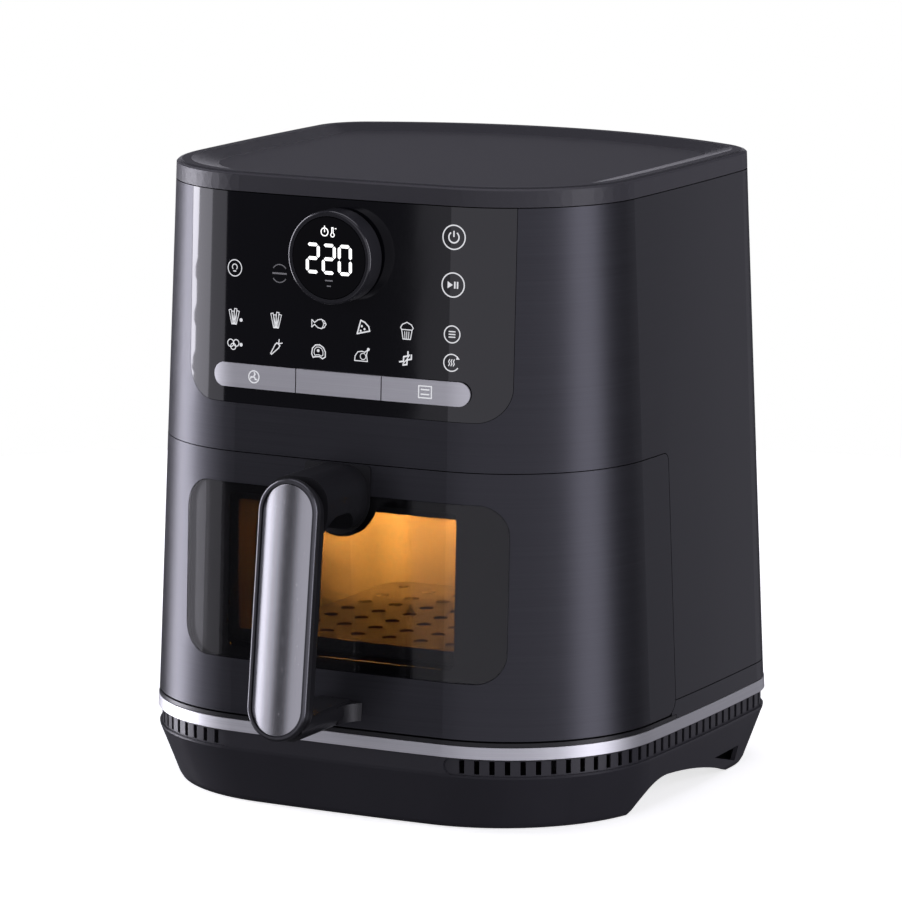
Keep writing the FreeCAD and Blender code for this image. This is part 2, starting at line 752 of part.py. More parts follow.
def skirt_level(z, inset=0.0):
    """Offset, height and corner softening of the skirt's straight slope at this height."""
    share = (z - SKIRT_FOOT_Z) / (SKIRT_TURN_Z - SKIRT_FOOT_Z)
    turn = body_offset(BAND_BOTTOM) - SKIRT_TURN_INSET
    offset = SKIRT_FOOT_OFFSET + (turn - SKIRT_FOOT_OFFSET) * share
    return offset + inset, z, SKIRT_FOOT_ROUND * (1 - share)


def skirt_levels(inset, high):
    wide = body_offset(BAND_BOTTOM) + inset
    return [(SKIRT_FOOT_OFFSET - SKIRT_HEEL + inset, FOOT_LIFT, SKIRT_FOOT_ROUND),
            skirt_level(SKIRT_FOOT_Z, inset), skirt_level(SKIRT_TURN_Z, inset),
            (wide - 0.2, SKIRT_TURN_Z + 1.6, 0), (wide, high, 0)]


def foot_spots():
    """Centres of the four feet, one under each corner."""
    points = outline_points(SKIRT_FOOT_OFFSET - SKIRT_HEEL - FOOT_R - 5, 0, SKIRT_FOOT_ROUND)
    spots = []
    for point in (points[2], points[6]):
        spots += [point, mirrored(point)]
    return spots


def side_arch():
    rise = arc(V(-FAR, ARCH_FRONT, -1), V(-FAR, (ARCH_FRONT + ARCH_TOP_Y) / 2 - 3, ARCH_TOP_Z * 0.72),
               V(-FAR, ARCH_TOP_Y, ARCH_TOP_Z))
    fall = arc(V(-FAR, ARCH_TOP_Y, ARCH_TOP_Z), V(-FAR, (ARCH_TOP_Y + ARCH_REAR) / 2, ARCH_TOP_Z * 0.64),
               V(-FAR, ARCH_REAR, -1))
    floor = Part.makeLine(V(-FAR, ARCH_REAR, -1), V(-FAR, ARCH_FRONT, -1))
    return Part.Face(Part.Wire([rise, fall, floor])).extrude(RIGHT * 2 * FAR)


def foot_opening():
    """Finger opening above each rear foot, seen from the side."""
    points = [V(-FAR, 27, 12.2), V(-FAR, 58, 12.8), V(-FAR, 57, 4.2)]
    return Part.Face(Part.makePolygon(points + points[:1])).extrude(RIGHT * 2 * FAR)


def vent_places():
    """Evenly spaced points round the skirt with the outward direction at each."""
    p = outline_points(body_offset(BAND_BOTTOM), 0)
    m = [mirrored(q) for q in p]
    half_front = (p[0] + p[1]) * 0.5
    lift = FRONT_BOW - math.sqrt(FRONT_BOW ** 2 - half_front.x ** 2)
    quarter = V(half_front.x, p[0].y + lift, 0)
    edges = [arc(p[0], quarter, p[1]), arc(p[1], p[2], p[3]), arc(p[3], p[4], p[5]), arc(p[5], p[6], p[7]),
             arc(p[7], p[8], m[7]), arc(m[7], m[6], m[5]), arc(m[5], m[4], m[3]), arc(m[3], m[2], m[1]),
             arc(m[1], mirrored(quarter), p[0])]
    ring = Part.Wire(edges).discretize(Number=VENT_COUNT + 1)[:-1]
    places = []
    for index, point in enumerate(ring):
        along = ring[(index + 1) % VENT_COUNT] - ring[index - 1]
        if abs(point.x) > VENT_START + 4 or point.y > 0:
            places.append((point, math.degrees(math.atan2(along.y, along.x))))
    return places


def vent_slots():
    slots = []
    for point, angle in vent_places():
        slot = box(-VENT_WIDTH / 2, VENT_WIDTH / 2, -8, 8, VENT_BOTTOM, VENT_TOP)
        slot.rotate(V(0, 0, 0), UP, angle)
        slot.translate(point)
        slots.append(slot)
    return group(slots)


def vent_groove():
    low = VENT_BOTTOM - 0.8
    high = VENT_TOP + 0.8
    radius = (high - low) / 2
    wide = body_offset(BAND_BOTTOM)
    ring = stack([(wide + 5, low), (wide + 5, high)])
    ring = ring.cut(stack([(wide - VENT_GROOVE, low), (wide - VENT_GROOVE, high)]))
    start = VENT_START + radius
    middle = (low + high) / 2
    ends = [ring.common(rod(radius, V(side * start, -FAR, middle), BACK, FAR)) for side in (-1, 1)]
    return fuse([ring.cut(box(-start, start, -FAR, 0, 0, HEIGHT))] + ends)


def base_skirt():
    top = BAND_BOTTOM - 0.3
    outer = stack(skirt_levels(0, top))
    inner = stack(skirt_levels(-WALL, top)).common(box(-FAR, FAR, -FAR, FAR, 0, DECK_Z))
    heel = SKIRT_FOOT_OFFSET - SKIRT_HEEL - 0.5
    heights = (FOOT_LIFT, FOOT_LIFT + WALL)
    pads = stack([(heel, z, SKIRT_FOOT_ROUND) for z in heights])
    pads = pads.cut(stack([(heel - 26, z, SKIRT_FOOT_ROUND) for z in heights]))
    corners = []
    for side in (-1, 1):
        x0, x1 = sorted((side * 62, side * FAR))
        corners += [box(x0, x1, -FAR, ARCH_FRONT - 2, 0, 30), box(x0, x1, ARCH_REAR + 6, FAR, 0, 30)]
    pads = pads.common(group(corners))
    tall = DECK_Z - BASE_PLATE_Z - 1.5
    bosses = [rod(4, V(x, y, BASE_PLATE_Z + 2.1), UP, tall) for x, y in base_screw_spots()]
    skirt = fuse([outer.cut(inner), pads] + bosses)
    skirt = skirt.cut(side_arch()).cut(foot_opening()).cut(vent_groove()).cut(vent_slots())
    holes = [rod(2, V(x, y, BASE_PLATE_Z), UP, 16) for x, y in base_screw_spots()]
    holes += [rod(3.1, spot, UP, 10) for spot in foot_spots()]
    return skirt.cut(group(holes)).cut(rod(GLAND_R, V(GLAND_X, 60, GLAND_Z), BACK, 100))


def base_screw_spots():
    return [(x, y) for x in (-85, 85) for y in (-60, 70)]


def base_plate():
    z0 = BASE_PLATE_Z
    wide, _, soften = skirt_level(z0, -WALL - 0.5)
    plate = stack([(wide, z0, soften + 2), (wide, z0 + 2, soften + 2)])
    notch = GLAND_NUT_R + 1
    plate = plate.cut(box(GLAND_X - notch, GLAND_X + notch, gland_start() - 1.5, FAR, 0, HEIGHT))
    slots = [box(-60, 60, y - 2, y + 2, z0 - 1, z0 + 3) for y in range(-48, 60, 12)]
    holes = [rod(2.2, V(x, y, z0 - 1), UP, 4) for x, y in base_screw_spots()]
    return plate.cut(group(slots + holes))


def screw(radius, head, spot, axis, length):
    return fuse([rod(radius, spot, axis, length), rod(head, spot - axis * 2.2, axis, 2.2)])


def base_screws():
    return group([screw(1.9, 3.6, V(x, y, BASE_PLATE_Z), UP, 14) for x, y in base_screw_spots()])


def rubber_feet():
    feet = []
    for spot in foot_spots():
        feet.append(fuse([rod(FOOT_R, spot, UP, FOOT_LIFT), rod(3, spot, UP, FOOT_LIFT + WALL + 1.5)]))
    return group(feet)


def gland_start():
    bow = BACK_BOW - math.sqrt(BACK_BOW ** 2 - GLAND_X ** 2)
    return TOP_DEPTH / 2 + skirt_level(GLAND_Z)[0] - bow - 10


def cord_gland():
    start = gland_start()
    body = rod(GLAND_R - 0.1, V(GLAND_X, start, GLAND_Z), BACK, 14)
    nut = rod(GLAND_NUT_R, V(GLAND_X, start, GLAND_Z), BACK, 3)
    collar = rod(7.4, V(GLAND_X, start + 5, GLAND_Z), BACK, 9).cut(stack(skirt_levels(0.1, BAND_BOTTOM)))
    nose = Part.makeCone(7.4, 5.6, 3.4, V(GLAND_X, start + 14, GLAND_Z), BACK)
    return fuse([body, nut, collar, nose]).cut(rod(3.6, V(GLAND_X, start - 1, GLAND_Z), BACK, 40))


# ---- drawer ----

def window_prism(grow, y0=-FAR, y1=0.0):
    return front_prism(WINDOW_HALF + grow, WINDOW_BOTTOM - grow, WINDOW_TOP + grow,
                       WINDOW_ROUND + grow, WINDOW_ROUND + grow, y0, y1)


def drawer_front_shell():
    walls = skin(-WALL, 0, DRAWER_BOTTOM, DRAWER_TOP)
    solid = [walls]
    for z in (DRAWER_BOTTOM, DRAWER_TOP - WALL):
        slab = drafted(-WALL + 0.2, z, z + WALL)
        solid.append(slab.common(box(-FAR, FAR, -FAR, INNER_PANEL_FRONT - 0.2, 0, HEIGHT)))
    for x in (-96, 96):
        for z in (62, 175):
            boss = rod(4.2, V(x, INNER_PANEL_FRONT - 0.1, z), -BACK, 14)
            solid.append(boss.common(drafted(-1, 50, 184)))
    shell = fuse(solid).common(drawer_zone(0)).cut(window_prism(0))
    holes = [rod(2.4, V(0, -FAR, z), BACK, FAR) for z in HANDLE_SCREW_Z]
    holes += [rod(1.8, V(x, INNER_PANEL_FRONT - 6, z), BACK, 10) for x in (-96, 96) for z in (62, 175)]
    return shell.cut(group(holes))


def drawer_front_inner():
    low = DRAWER_BOTTOM + WALL + 0.3
    high = DRAWER_TOP - WALL - 0.3
    panel = drafted(-WALL - 0.3, low, high)
    y1 = INNER_PANEL_FRONT + INNER_PANEL_THICK
    panel = panel.common(box(-FAR, FAR, INNER_PANEL_FRONT, y1, 0, HEIGHT))
    hole = inner_window(3.0, -FAR, 0)
    screws = [rod(2.1, V(x, -FAR, z), BACK, FAR) for x in (-96, 96) for z in (62, 175)]
    return panel.cut(hole).cut(group(screws))


def drawer_screws():
    y = INNER_PANEL_FRONT + INNER_PANEL_THICK
    return group([screw(1.7, 3.2, V(x, y, z), -BACK, 8) for x in (-96, 96) for z in (62, 175)])


def drawer_seal():
    y0 = INNER_PANEL_FRONT + INNER_PANEL_THICK
    y1 = FRAME_PLATE_Y - SEAT_GAP
    outer = front_prism(MOUTH_HALF + 2.6, MOUTH_BOTTOM - 2.6, MOUTH_TOP + 2.4, 12, 12, y0, y1)
    seal = outer.cut(front_prism(MOUTH_HALF + 0.4, MOUTH_BOTTOM - 0.4, MOUTH_TOP + 0.4, 10, 10, y0, y1))
    return seal.cut(group([rod(4, V(x, y0 - 1, z), BACK, 9) for x in (-96, 96) for z in (62, 175)]))


def window_outer_pane():
    pane = skin(-PANE_THICK - 0.1, -0.1, WINDOW_BOTTOM - 4, WINDOW_TOP + 4)
    return pane.common(window_prism(-0.3))


def window_mask():
    outer = -PANE_THICK - 0.3
    ring = skin(outer - MASK_THICK, outer, WINDOW_BOTTOM - 6, WINDOW_TOP + 6).common(window_prism(3.0))
    view = front_prism(VIEW_HALF, VIEW_BOTTOM, VIEW_TOP, 3, 3, -FAR, 0)
    return ring.cut(view.cut(neck_prism(NECK_FLANGE + 2, -FAR, 0)))


def inner_window(grow, y0, y1):
    return front_prism(INNER_WINDOW_HALF + grow, INNER_WINDOW_BOTTOM - grow, INNER_WINDOW_TOP + grow,
                       6 + grow, 6 + grow, y0, y1)


def pan_front():
    return INNER_PANEL_FRONT + INNER_PANEL_THICK + SEAT_GAP


def window_inner_pane():
    y0 = pan_front() + PAN_WALL + 0.1
    return inner_window(0, y0, y0 + 3)


def window_gasket():
    y0 = pan_front() + PAN_WALL + 0.1
    return inner_window(2.4, y0, y0 + 3.6).cut(inner_window(0.1, y0, y0 + 3.6))


def pan_solid(inset, z0, z1):
    """The basket's tapering volume, drawn in by inset on every side."""
    sections = []
    for z in (z0, z1):
        narrow = PAN_DRAFT * (PAN_TOP - z) / (PAN_TOP - PAN_BOTTOM)
        half = PAN_HALF - inset - narrow
        plate = rounded_outline(-half, half, pan_front() + inset, PAN_BACK - inset - narrow, 8 - inset,
                                PAN_CORNER - inset, lambda a, b, level=z: V(a, b, level))
        sections.append(plate.OuterWire)
    return Part.makeLoft(sections, True, True)


def basket_pan():
    outer = pan_solid(0, PAN_BOTTOM, PAN_TOP)
    rim = plan_prism(PAN_HALF + PAN_RIM, pan_front() + 10, PAN_BACK + PAN_RIM, 2, PAN_CORNER,
                     PAN_TOP - 1.5, PAN_TOP)
    pan = fuse([outer, rim]).cut(pan_solid(PAN_WALL, PAN_BOTTOM + PAN_WALL, PAN_TOP))
    pan = pan.cut(pan_solid(PAN_WALL, PAN_TOP - 3, PAN_TOP + 0.5))
    return pan.cut(inner_window(-3.5, -FAR, 0))


def plate_bounds():
    narrow = PAN_DRAFT * (PAN_TOP - PLATE_Z) / (PAN_TOP - PAN_BOTTOM)
    half = PAN_HALF - PAN_WALL - narrow - PLATE_GAP
    front = pan_front() + PAN_WALL + 0.1 + 3.6 + PLATE_GAP
    return half, front, PAN_BACK - PAN_WALL - narrow - PLATE_GAP


def crisper_plate():
    half, front, back = plate_bounds()
    top = PLATE_Z + PLATE_THICK
    plate = plan_prism(half, front, back, 8, PAN_CORNER - 4, PLATE_Z - PLATE_RIM, top)
    under = plan_prism(half - PLATE_THICK, front + PLATE_THICK, back - PLATE_THICK, 7, PAN_CORNER - 5,
                       PLATE_Z - PLATE_RIM, PLATE_Z)
    plate = plate.cut(under)
    holes = []
    columns = int((half - 10) // PLATE_PITCH)
    middle = (front + back) / 2
    rows = int(((back - front) / 2 - 10) // PLATE_PITCH)
    for column in range(-columns, columns + 1):
        for row in range(-rows, rows + 1):
            x = column * PLATE_PITCH
            y = middle + row * PLATE_PITCH
            corner = abs(column) == columns and abs(row) == rows
            if not corner:
                holes.append(rod(PLATE_HOLE_R, V(x, y, PLATE_Z - 1), UP, 4))
    sockets = [rod(BUMPER_R - 2, V(x, y, PLATE_Z - 1), UP, 4) for x, y in bumper_spots()]
    return plate.cut(group(holes + sockets))


def bumper_spots():
    half, front, back = plate_bounds()
    inset = 14.0
    return [(x, y) for x in (-half + inset, half - inset) for y in (front + inset, back - inset)]


def plate_bumpers():
    feet = []
    floor = PAN_BOTTOM + PAN_WALL + SEAT_GAP
    for x, y in bumper_spots():
        stem = rod(BUMPER_R - 2.1, V(x, y, PLATE_Z - 1), UP, PLATE_THICK + 1.8)
        foot = rod(BUMPER_R, V(x, y, floor), UP, PLATE_Z - floor)
        feet.append(fuse([stem, foot]))
    return group(feet)


# ---- handle: drawn upright at its top front edge, then leaned ----

def leaned(shape):
    shape = shape.copy()
    shape.rotate(V(0, HANDLE_FRONT_TOP, HANDLE_TOP), RIGHT, -HANDLE_LEAN)
    return shape


def handle_pill(half, y0, y1):
    """Upright pill of the given half width between two depths behind the handle's face."""
    inset = HANDLE_HALF - half
    length = (HANDLE_TOP - HANDLE_BOTTOM) / math.cos(math.radians(HANDLE_LEAN))
    front = HANDLE_FRONT_TOP
    return front_prism(half, HANDLE_TOP - length + inset, HANDLE_TOP - inset, half - 0.02, half - 0.02,
                       front + y0, front + y1)


def face_edges(shape, y):
    return [e for e in shape.Edges if abs(e.BoundBox.YMin - y) < 0.01 and abs(e.BoundBox.YMax - y) < 0.01]


def handle_plate():
    """Steel face, slightly domed from side to side."""
    front = HANDLE_FRONT_TOP + 0.1
    dome = rod(PLATE_DOME_R, V(0, front + PLATE_DOME_R, 0), UP, HEIGHT)
    plate = handle_pill(PLATE_HALF_W, 0, 2.6).common(dome)
    return leaned(plate.makeFillet(0.5, [e for e in plate.Edges if e.BoundBox.YMax < front + 1.5]))


def handle_bezel():
    ring = handle_pill(HANDLE_HALF, 0, BEZEL_DEPTH)
    ring = ring.makeFillet(1.5, face_edges(ring, HANDLE_FRONT_TOP))
    return leaned(ring.cut(handle_pill(PLATE_HALF_W + 0.2, -1, 2.7)))


def grip_y(z):
    """Y of the grip's back face at this height."""
    lean = math.radians(HANDLE_LEAN)
    return HANDLE_FRONT_TOP - (HANDLE_TOP - z) * math.tan(lean) + GRIP_DEPTH / math.cos(lean)


def neck_prism(grow, y0, y1):
    """The neck's outline: round below, with rounded shoulders under the drawer's top edge."""
    shoulder = NECK_SHOULDER if grow == 0 else 2.0
    return front_prism(NECK_HALF + grow, NECK_BOTTOM - grow, DRAWER_TOP - 0.4, NECK_HALF + grow - 0.1,
                       shoulder, y0, y1)


def leg_flare():
    """The leg's widening root against the drawer."""
    root = face_y(LEG_TOP)
    wide = LEG_HALF + LEG_FLARE
    middle = LEG_HALF + LEG_FLARE * 0.25
    low = HANDLE_BOTTOM
    right = arc(V(LEG_HALF - 0.5, root - 15, low), V(middle, root - 5, low), V(wide, root + 1, low))
    left = arc(V(-wide, root + 1, low), V(-middle, root - 5, low), V(0.5 - LEG_HALF, root - 15, low))
    lines = [Part.makeLine(V(wide, root + 1, low), V(-wide, root + 1, low)),
             Part.makeLine(V(0.5 - LEG_HALF, root - 15, low), V(LEG_HALF - 0.5, root - 15, low))]
    return Part.Face(Part.Wire([right, lines[0], left, lines[1]])).extrude(UP * (LEG_TOP - 2 - low))


def handle_core():
    grip = handle_pill(HANDLE_HALF - 1.6, BEZEL_DEPTH + 0.1, GRIP_DEPTH)
    grip = leaned(grip.makeFillet(4.0, face_edges(grip, HANDLE_FRONT_TOP + GRIP_DEPTH)))
    neck_end = grip_y(HANDLE_TOP) - 6
    neck = neck_prism(0, neck_end, -100)
    flange = neck_prism(NECK_FLANGE, -FAR, -100).common(skin(0.2, 1.0, NECK_BOTTOM - 10, DRAWER_TOP))
    leg = front_prism(LEG_HALF, HANDLE_BOTTOM - 1.5, LEG_TOP, 6, 5, grip_y(HANDLE_BOTTOM) - 5, -100)
    top = NECK_BOTTOM + 14
    gap_y = face_y(120, -2)
    corner = 9.0
    points = [V(-60, gap_y + 4, LEG_TOP - 1), V(-60, grip_y(LEG_TOP), LEG_TOP - 1), V(-60, grip_y(top), top),
              V(-60, face_y(top) - 18, top), V(-60, gap_y + 10, NECK_BOTTOM - 8)]
    gap = Part.Face(Part.makePolygon(points + points[:1])).extrude(RIGHT * 120)
    uprights = [e for e in gap.Edges if e.BoundBox.XLength > 100 and e.BoundBox.YMax < gap_y - 5]
    gap = gap.makeFillet(corner, uprights)
    core = fuse([grip, neck, leg, leg_flare()]).cut(gap).fuse(flange)
    core = core.cut(drafted(0.3, HANDLE_BOTTOM - 8, DRAWER_TOP + 5))
    core = core.cut(leaned(handle_pill(HANDLE_HALF + 20, -40, BEZEL_DEPTH + 0.05)))
    return core.cut(group([rod(2, V(0, face_y(z) - 12, z), BACK, 30) for z in HANDLE_SCREW_Z]))


def handle_screws():
    return group([screw(1.9, 3.8, V(0, face_y(z) + WALL + 0.2, z), -BACK, 13) for z in HANDLE_SCREW_Z])


NODES = {
    "top_lid": top_lid,
    "body_shell": body_shell,
    "lower_side_strip": lower_side_strip,
    "trim_band": trim_band,
    "control_panel": control_panel,
    "mode_bar_centre": mode_bar_centre,
    "mode_key_left": lambda: mode_key(-1),
    "mode_key_right": lambda: mode_key(1),
    "dial_ring": dial_ring,
    "dial_encoder": dial_encoder,
    "display_holder": display_holder,
    "display_lens": display_lens,
    "display_module": display_module,
    "control_board": control_board,
    "touch_contacts": touch_contacts,
    "front_frame": front_frame,
    "chamber_liner": chamber_liner,
    "liner_brackets": liner_brackets,
    "slide_rails": slide_rails,
    "latch_springs": latch_springs,
    "heater_coil": heater_coil,
    "heater_bushes": heater_bushes,
    "heater_guard": heater_guard,
    "convection_fan": convection_fan,
    "cooling_fan": cooling_fan,
    "motor_shaft": motor_shaft,
    "motor_stator": motor_stator,
    "motor_windings": motor_windings,
    "motor_bracket": motor_bracket,
    "motor_cover": motor_cover,
    "motor_bearings": motor_bearings,
    "exhaust_duct": exhaust_duct,
    "exhaust_grille": exhaust_grille,
    "lamp_housing": lamp_housing,
    "lamp_lens": lamp_lens,
    "lamp_bulb": lamp_bulb,
    "thermal_cutout": thermal_cutout,
    "drawer_switch": drawer_switch,
    "switch_plunger": switch_plunger,
    "power_board": power_board,
    "base_skirt": base_skirt,
    "base_plate": base_plate,
    "base_screws": base_screws,
    "rubber_feet": rubber_feet,
    "cord_gland": cord_gland,
    "drawer_front_shell": drawer_front_shell,
    "drawer_front_inner": drawer_front_inner,
    "drawer_screws": drawer_screws,
    "drawer_seal": drawer_seal,
    "window_outer_pane": window_outer_pane,
    "window_mask": window_mask,
    "window_inner_pane": window_inner_pane,
    "window_gasket": window_gasket,
    "basket_pan": basket_pan,
    "crisper_plate": crisper_plate,
    "plate_bumpers": plate_bumpers,
    "handle_plate": handle_plate,
    "handle_bezel": handle_bezel,
    "handle_core": handle_core,
    "handle_screws": handle_screws,
}


def save_all():
    shapes = {name: make() for name, make in NODES.items()}
    bounds = Part.makeCompound(list(shapes.values())).optimalBoundingBox(False, False)
    shift = V(-(bounds.XMin + bounds.XMax) / 2, -(bounds.YMin + bounds.YMax) / 2, -bounds.ZMin)
    size = [round(length, 2) for length in (bounds.XLength, bounds.YLength, bounds.ZLength)]
    print("size", size, "shift", shift)
    os.makedirs("parts", exist_ok=True)
    for name, shape in shapes.items():
        if not shape.isValid():
            print("not valid:", name)
        shape.translate(shift)
        shape.exportStep("parts/" + name + ".step")
        print(name, len(shape.Solids), round(shape.Volume / 1000, 2))


save_all()
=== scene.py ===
import bmesh
import bpy
import math
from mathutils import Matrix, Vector


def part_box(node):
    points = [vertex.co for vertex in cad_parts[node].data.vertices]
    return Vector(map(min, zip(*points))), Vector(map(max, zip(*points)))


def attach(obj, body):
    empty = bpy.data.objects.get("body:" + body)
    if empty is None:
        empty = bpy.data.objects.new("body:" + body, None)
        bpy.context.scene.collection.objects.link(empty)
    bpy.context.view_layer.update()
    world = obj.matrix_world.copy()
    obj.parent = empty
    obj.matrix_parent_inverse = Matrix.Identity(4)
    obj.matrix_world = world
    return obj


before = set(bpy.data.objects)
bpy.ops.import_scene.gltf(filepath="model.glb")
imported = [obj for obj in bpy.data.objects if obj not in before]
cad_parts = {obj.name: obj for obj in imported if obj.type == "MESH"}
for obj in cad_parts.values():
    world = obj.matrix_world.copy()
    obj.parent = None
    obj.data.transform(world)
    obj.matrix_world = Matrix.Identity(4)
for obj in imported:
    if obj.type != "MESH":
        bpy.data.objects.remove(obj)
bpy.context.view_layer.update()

MM = 0.001

# ---------------------------------------------------------------------------------------------
# Base: one black moulding with air slots under the trim band and an arch in each side, closed
# from below by a flat plate. Fine-textured plastic, four rubber feet pushed in at the corners.
# ---------------------------------------------------------------------------------------------


class Value:
    """Something that varies over a surface. Arithmetic on it adds Math nodes to its finish."""

    def __init__(self, finish, socket):
        self.finish = finish
        self.socket = socket

    def maths(self, operation, first, second):
        return self.finish.node("ShaderNodeMath", {"operation": operation}, [first, second])

    def __add__(self, other):
        return self.maths("ADD", self, other)

    def __sub__(self, other):
        return self.maths("SUBTRACT", self, other)

    def __rsub__(self, other):
        return self.maths("SUBTRACT", other, self)

    def __mul__(self, other):
        return self.maths("MULTIPLY", self, other)

    def __gt__(self, other):
        return self.maths("GREATER_THAN", self, other)

    def __lt__(self, other):
        return self.maths("LESS_THAN", self, other)

    __radd__ = __add__
    __rmul__ = __mul__


class Finish:
    """One material, or the studio's air, while it is being mixed."""

    def __init__(self, name, air=None):
        self.material = air or bpy.data.materials.new(name)
        self.material.use_nodes = True
        self.tree = self.material.node_tree
        self.tree.nodes.clear()
        self.place = self.node("ShaderNodeTexCoord", out="Object")

    def node(self, kind, settings=None, inputs=None, out=0):
        made = self.tree.nodes.new(kind)
        for key, value in (settings or {}).items():
            setattr(made, key, value)
        inputs = inputs or {}
        pairs = inputs.items() if isinstance(inputs, dict) else enumerate(inputs)
        for key, value in pairs:
            if isinstance(value, Value):
                self.tree.links.new(value.socket, made.inputs[key])
            else:
                made.inputs[key].default_value = value
        return Value(self, made.outputs[out]) if made.outputs else None

    def stretched(self, scales):
        return self.node("ShaderNodeVectorMath", {"operation": "MULTIPLY"}, [self.place, scales])

    def noise(self, scales, detail=3.0, roughness=0.55):
        """Noise whose grain is 1/scales metres long each way."""
        inputs = {"Vector": self.stretched(scales), "Scale": 1.0, "Detail": detail, "Roughness": roughness}
        return self.node("ShaderNodeTexNoise", {}, inputs, "Fac")

    def along(self, axis, start, end):
        """0 at start and 1 at end, in metres along one axis of the assembled object."""
        part = self.node("ShaderNodeSeparateXYZ", {}, [self.place], axis)
        return self.node("ShaderNodeMapRange", {}, [part, start, end])

    def mixed(self, amount, first, second):
        return self.node("ShaderNodeMix", {"data_type": "RGBA"}, {0: amount, 6: (*first, 1), 7: (*second, 1)}, 2)

    def bump(self, height, distance, normal=None):
        inputs = {"Distance": distance, "Height": height}
        if normal:
            inputs["Normal"] = normal
        return self.node("ShaderNodeBump", {}, inputs)

    def surface(self, **sockets):
        """Principled shader; keywords are socket names with _ for a space."""
        inputs = {key.replace("_", " "): value for key, value in sockets.items()}
        for key, value in inputs.items():
            if isinstance(value, tuple) and len(value) == 3:
                inputs[key] = (*value, 1.0)
        shader = self.node("ShaderNodeBsdfPrincipled", {}, inputs)
        self.node("ShaderNodeOutputMaterial", {}, {"Surface": shader})
        return self.material


def tinted(colour, factor):
    return tuple(min(1.0, part * factor) for part in colour)


PLASTIC_GLOSS = 0.45


def moulded(name, colour, roughness, grain=0.00004, speck=1400.0):
    """Injection-moulded plastic with a fine spark-eroded texture."""
    finish = Finish(name)
    fine = finish.noise((speck, speck, speck), 2.0)
    broad = finish.noise((22.0, 22.0, 22.0))
    shade = finish.mixed(broad * 0.6 + fine * 0.4, tinted(colour, 0.86), tinted(colour, 1.16))
    rough = broad * 0.10 + fine * 0.08 + (roughness - 0.09)
    return finish.surface(Base_Color=shade, Roughness=rough, Normal=finish.bump(fine, grain),
                          Specular_IOR_Level=PLASTIC_GLOSS)


def dress(nodes, material):
    """Gives every material slot of the named CAD nodes this finish."""
    for node in nodes:
        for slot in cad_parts[node].material_slots:
            slot.material = material


dress(["base_skirt", "base_plate"], moulded("base_plastic", (0.036, 0.035, 0.042), 0.42))
dress(["rubber_feet", "cord_gland"], moulded("foot_rubber", (0.02, 0.02, 0.02), 0.75, 0.0001, 700.0))


def plated(name, colour, roughness):
    """Plated or bright metal with faint handling smears."""
    finish = Finish(name)
    smear = finish.noise((90.0, 90.0, 90.0), 4.0)
    shade = finish.mixed(smear, tinted(colour, 0.85), tinted(colour, 1.08))
    return finish.surface(Base_Color=shade, Metallic=1.0, Roughness=smear * 0.16 + (roughness - 0.08),
                          Normal=finish.bump(finish.noise((600.0, 600.0, 600.0)), 0.00001))


dress(["base_screws", "drawer_screws", "handle_screws"], plated("screw_steel", (0.62, 0.62, 0.64), 0.25))

# ---------------------------------------------------------------------------------------------
# Trim band: a strip of stainless steel pressed round the foot of the housing, brushed along its
# length, so the scratches run level all the way round.
# ---------------------------------------------------------------------------------------------

LEVEL = (7.0, 7.0, 2600.0)
UPRIGHT = (2600.0, 2600.0, 7.0)
BRUSHED_SPREAD = 0.16


def brushed(name, colour, metallic, roughness, run, contrast=0.22, depth=0.000012, crown=0.0, middle=0.0):
    """Metal or metal-look paint brushed in one direction; run is short along the scratches.

    crown shades the face as if domed across its width: metres of fall per square metre of distance
    from middle, the X of its centre line.
    """
    finish = Finish(name)
    hair = finish.noise(run, 5.0, 0.7)
    coarse = finish.noise(tuple(part * 0.3 for part in run), 3.0)
    streak = hair * 0.65 + coarse * 0.35
    shade = finish.mixed(streak, tinted(colour, 1 - contrast), tinted(colour, 1 + contrast))
    across = finish.along("X", -0.5, 0.5) - (0.5 + middle)
    relief = streak * depth - across * across * crown
    rough = streak * BRUSHED_SPREAD + (roughness - BRUSHED_SPREAD / 2)
    return finish.surface(Base_Color=shade, Metallic=metallic, Roughness=rough, Normal=finish.bump(relief, 1.0))


dress(["trim_band"], brushed("band_steel", (0.78, 0.78, 0.80), 1.0, 0.48, LEVEL))

# ---------------------------------------------------------------------------------------------
# Housing wall, lower strip and drawer front: sheet wrapped round the casing, painted charcoal
# over a level brushed grain.
# ---------------------------------------------------------------------------------------------

CHARCOAL = (0.052, 0.052, 0.060)
PAINT_GRAIN = (9.0, 9.0, 2200.0)
dress(["body_shell", "lower_side_strip", "drawer_front_shell"],
      brushed("body_paint", CHARCOAL, 0.75, 0.36, PAINT_GRAIN, 0.30, 0.000010))

# ---------------------------------------------------------------------------------------------
# Lid: dark grey moulding snapped over the top of the wall. A narrow raised rim slopes down
# inside to a dished top.
# ---------------------------------------------------------------------------------------------

BORDER_STEEP = 0.9
BORDER_FLAT = 0.995


